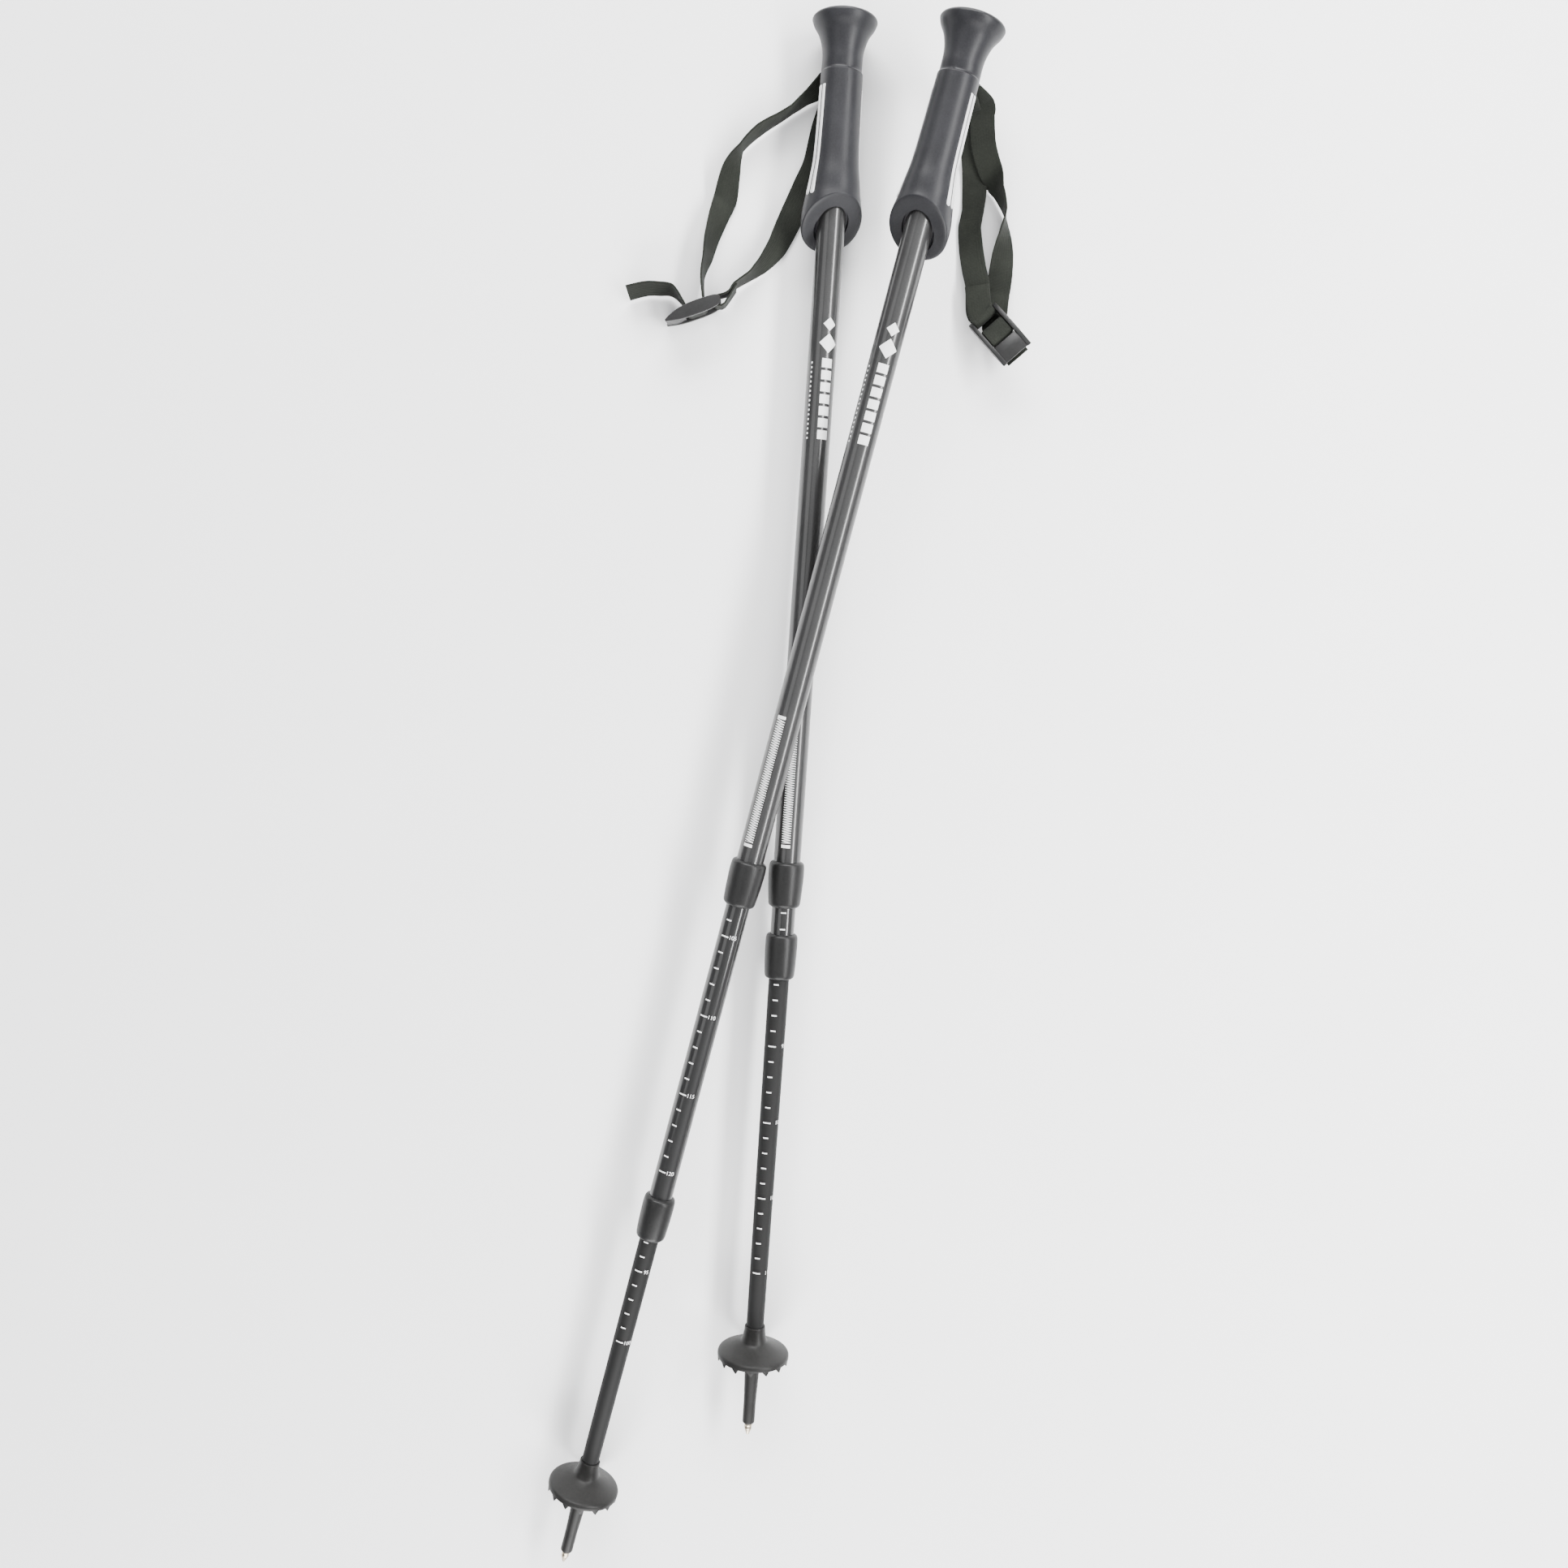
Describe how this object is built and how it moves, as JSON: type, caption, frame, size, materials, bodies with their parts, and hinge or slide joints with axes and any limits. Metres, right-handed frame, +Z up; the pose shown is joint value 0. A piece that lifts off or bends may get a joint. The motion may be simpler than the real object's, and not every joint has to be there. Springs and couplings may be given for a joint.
{
  "type": "trekking poles",
  "caption": "Pair of telescopic twist-lock trekking poles with wrist straps and small baskets, one laid across the other.",
  "frame": {"origin": "on the floor, under the middle of the pair's footprint", "axes": "+X to the right of the poles, +Y towards the grips, +Z up off the floor they lie on"},
  "size_m": [0.305, 0.9796, 0.0686],
  "materials": {
    "grip_rubber": "matt moulded foam rubber",
    "rib_white": "satin soft plastic inlay",
    "pin_steel": "plain ground pin",
    "shaft_alloy": "dark anodised satin",
    "lock_nylon": "moulded nylon",
    "collar_plastic": "smooth moulded plastic",
    "webbing": "flat woven nylon",
    "buckle_plastic": "moulded plastic",
    "cone_plastic": "moulded hard plastic",
    "lock_alloy": "machined",
    "spring_steel": "wound wire",
    "ferrule_plastic": "moulded hard plastic",
    "tip_steel": "ground hard tip",
    "basket_plastic": "moulded plastic"
  },
  "bodies": {
    "pole_a": {"grip_a": "grip_rubber", "grip_ribs_a": "rib_white", "strap_pin_a": "pin_steel", "upper_shaft_a": "shaft_alloy", "shaft_top_plug_a": "lock_nylon", "upper_collar_a": "collar_plastic"},
    "strap_a": {"wrist_strap_a": "webbing", "strap_buckle_a": "buckle_plastic"},
    "upper_expander_body_a": {"upper_expander_a": "lock_nylon"},
    "upper_cone_body_a": {"upper_cone_a": "cone_plastic"},
    "upper_lock_a": {"upper_lock_screw_a": "lock_alloy", "shock_piston_a": "cone_plastic"},
    "middle_a": {"middle_shaft_a": "shaft_alloy", "lower_collar_a": "collar_plastic", "shock_guide_a": "lock_nylon", "shock_spring_a": "spring_steel", "shock_end_plug_a": "lock_nylon"},
    "lower_expander_body_a": {"lower_expander_a": "lock_nylon"},
    "lower_cone_body_a": {"lower_cone_a": "cone_plastic"},
    "lower_a": {"lower_lock_screw_a": "lock_alloy", "lower_plug_a": "lock_nylon", "lower_shaft_a": "shaft_alloy", "ferrule_a": "ferrule_plastic", "carbide_tip_a": "tip_steel"},
    "basket_body_a": {"basket_a": "basket_plastic"},
    "pole_b": {"grip_b": "grip_rubber", "grip_ribs_b": "rib_white", "strap_pin_b": "pin_steel", "upper_shaft_b": "shaft_alloy", "shaft_top_plug_b": "lock_nylon", "upper_collar_b": "collar_plastic"},
    "strap_b": {"wrist_strap_b": "webbing", "strap_buckle_b": "buckle_plastic"},
    "upper_expander_body_b": {"upper_expander_b": "lock_nylon"},
    "upper_cone_body_b": {"upper_cone_b": "cone_plastic"},
    "upper_lock_b": {"upper_lock_screw_b": "lock_alloy", "shock_piston_b": "cone_plastic"},
    "middle_b": {"middle_shaft_b": "shaft_alloy", "lower_collar_b": "collar_plastic", "shock_guide_b": "lock_nylon", "shock_spring_b": "spring_steel", "shock_end_plug_b": "lock_nylon"},
    "lower_expander_body_b": {"lower_expander_b": "lock_nylon"},
    "lower_cone_body_b": {"lower_cone_b": "cone_plastic"},
    "lower_b": {"lower_lock_screw_b": "lock_alloy", "lower_plug_b": "lock_nylon", "lower_shaft_b": "shaft_alloy", "ferrule_b": "ferrule_plastic", "carbide_tip_b": "tip_steel"},
    "basket_body_b": {"basket_b": "basket_plastic"}
  },
  "joints": [
    {"name": "strap_swing_a", "type": "hinge", "parent": "pole_a", "child": "strap_a", "pos_m": [0.03492, 0.4644, 0.0196], "axis": [0.9249, -0.0648, -0.3746], "range_deg": [0, 20]},
    {"name": "upper_extension_a", "type": "slide", "parent": "pole_a", "child": "upper_expander_body_a", "axis": [-0.068, -0.9977, 0.0047], "range_m": [-0.0152, 0.3278]},
    {"name": "upper_lock_twist_a", "type": "hinge", "parent": "upper_expander_body_a", "child": "upper_lock_a", "pos_m": [0.02994, 0.39137, 0.01995], "axis": [-0.068, -0.9977, 0.0047], "range_deg": [0, 180]},
    {"name": "upper_cone_release_a", "type": "slide", "parent": "upper_expander_body_a", "child": "upper_cone_body_a", "axis": [0.068, 0.9977, -0.0047], "range_m": [0, 0.001]},
    {"name": "shock_travel_a", "type": "slide", "parent": "upper_lock_a", "child": "middle_a", "axis": [0.068, 0.9977, -0.0047], "range_m": [0, 0.008], "stiffness_N_per_m": 15000, "springref_m": -0.002, "deforming": ["shock_spring_a"]},
    {"name": "lower_extension_a", "type": "slide", "parent": "middle_a", "child": "lower_expander_body_a", "axis": [-0.068, -0.9977, 0.0047], "range_m": [-0.229, 0.029]},
    {"name": "lower_lock_twist_a", "type": "hinge", "parent": "lower_expander_body_a", "child": "lower_a", "pos_m": [0.00483, 0.02323, 0.02168], "axis": [-0.068, -0.9977, 0.0047], "range_deg": [0, 180]},
    {"name": "lower_cone_release_a", "type": "slide", "parent": "lower_expander_body_a", "child": "lower_cone_body_a", "axis": [0.068, 0.9977, -0.0047], "range_m": [0, 0.001]},
    {"name": "basket_turn_a", "type": "hinge", "parent": "lower_a", "child": "basket_body_a", "pos_m": [-0.0196, -0.33493, 0.02337], "axis": [-0.068, -0.9977, 0.0047], "continuous": true},
    {"name": "strap_swing_b", "type": "hinge", "parent": "pole_b", "child": "strap_b", "pos_m": [0.10333, 0.4516, 0.0485], "axis": [0.8935, -0.2478, 0.3745], "range_deg": [0, 20]},
    {"name": "upper_extension_b", "type": "slide", "parent": "pole_b", "child": "upper_expander_body_b", "axis": [-0.2565, -0.9662, -0.0273], "range_m": [-0.1947, 0.1483]},
    {"name": "upper_lock_twist_b", "type": "hinge", "parent": "upper_expander_body_b", "child": "upper_lock_b", "pos_m": [0.03851, 0.20745, 0.0416], "axis": [-0.2565, -0.9662, -0.0273], "range_deg": [0, 180]},
    {"name": "upper_cone_release_b", "type": "slide", "parent": "upper_expander_body_b", "child": "upper_cone_body_b", "axis": [0.2565, 0.9662, 0.0273], "range_m": [0, 0.001]},
    {"name": "shock_travel_b", "type": "slide", "parent": "upper_lock_b", "child": "middle_b", "axis": [0.2565, 0.9662, 0.0273], "range_m": [0, 0.008], "stiffness_N_per_m": 15000, "springref_m": -0.002, "deforming": ["shock_spring_b"]},
    {"name": "lower_extension_b", "type": "slide", "parent": "middle_b", "child": "lower_expander_body_b", "axis": [-0.2565, -0.9662, -0.0273], "range_m": [-0.1458, 0.1002]},
    {"name": "lower_lock_twist_b", "type": "hinge", "parent": "lower_expander_body_b", "child": "lower_b", "pos_m": [-0.03788, -0.08028, 0.03348], "axis": [-0.2565, -0.9662, -0.0273], "range_deg": [0, 180]},
    {"name": "lower_cone_release_b", "type": "slide", "parent": "lower_expander_body_b", "child": "lower_cone_body_b", "axis": [0.2565, 0.9662, 0.0273], "range_m": [0, 0.001]},
    {"name": "basket_turn_b", "type": "hinge", "parent": "lower_b", "child": "basket_body_b", "pos_m": [-0.12996, -0.42713, 0.02368], "axis": [-0.2565, -0.9662, -0.0273], "continuous": true},
    {"name": "lift_off_b", "type": "slide", "parent": "pole_a", "child": "pole_b", "axis": [0, 0, 1], "range_m": [0, 0.12]}
  ],
  "couplings": [
    {"joint": "upper_cone_release_a", "follows": "upper_lock_twist_a", "m_per_rad": 0.00031831},
    {"joint": "lower_cone_release_a", "follows": "lower_lock_twist_a", "m_per_rad": 0.00031831},
    {"joint": "upper_cone_release_b", "follows": "upper_lock_twist_b", "m_per_rad": 0.00031831},
    {"joint": "lower_cone_release_b", "follows": "lower_lock_twist_b", "m_per_rad": 0.00031831}
  ]
}
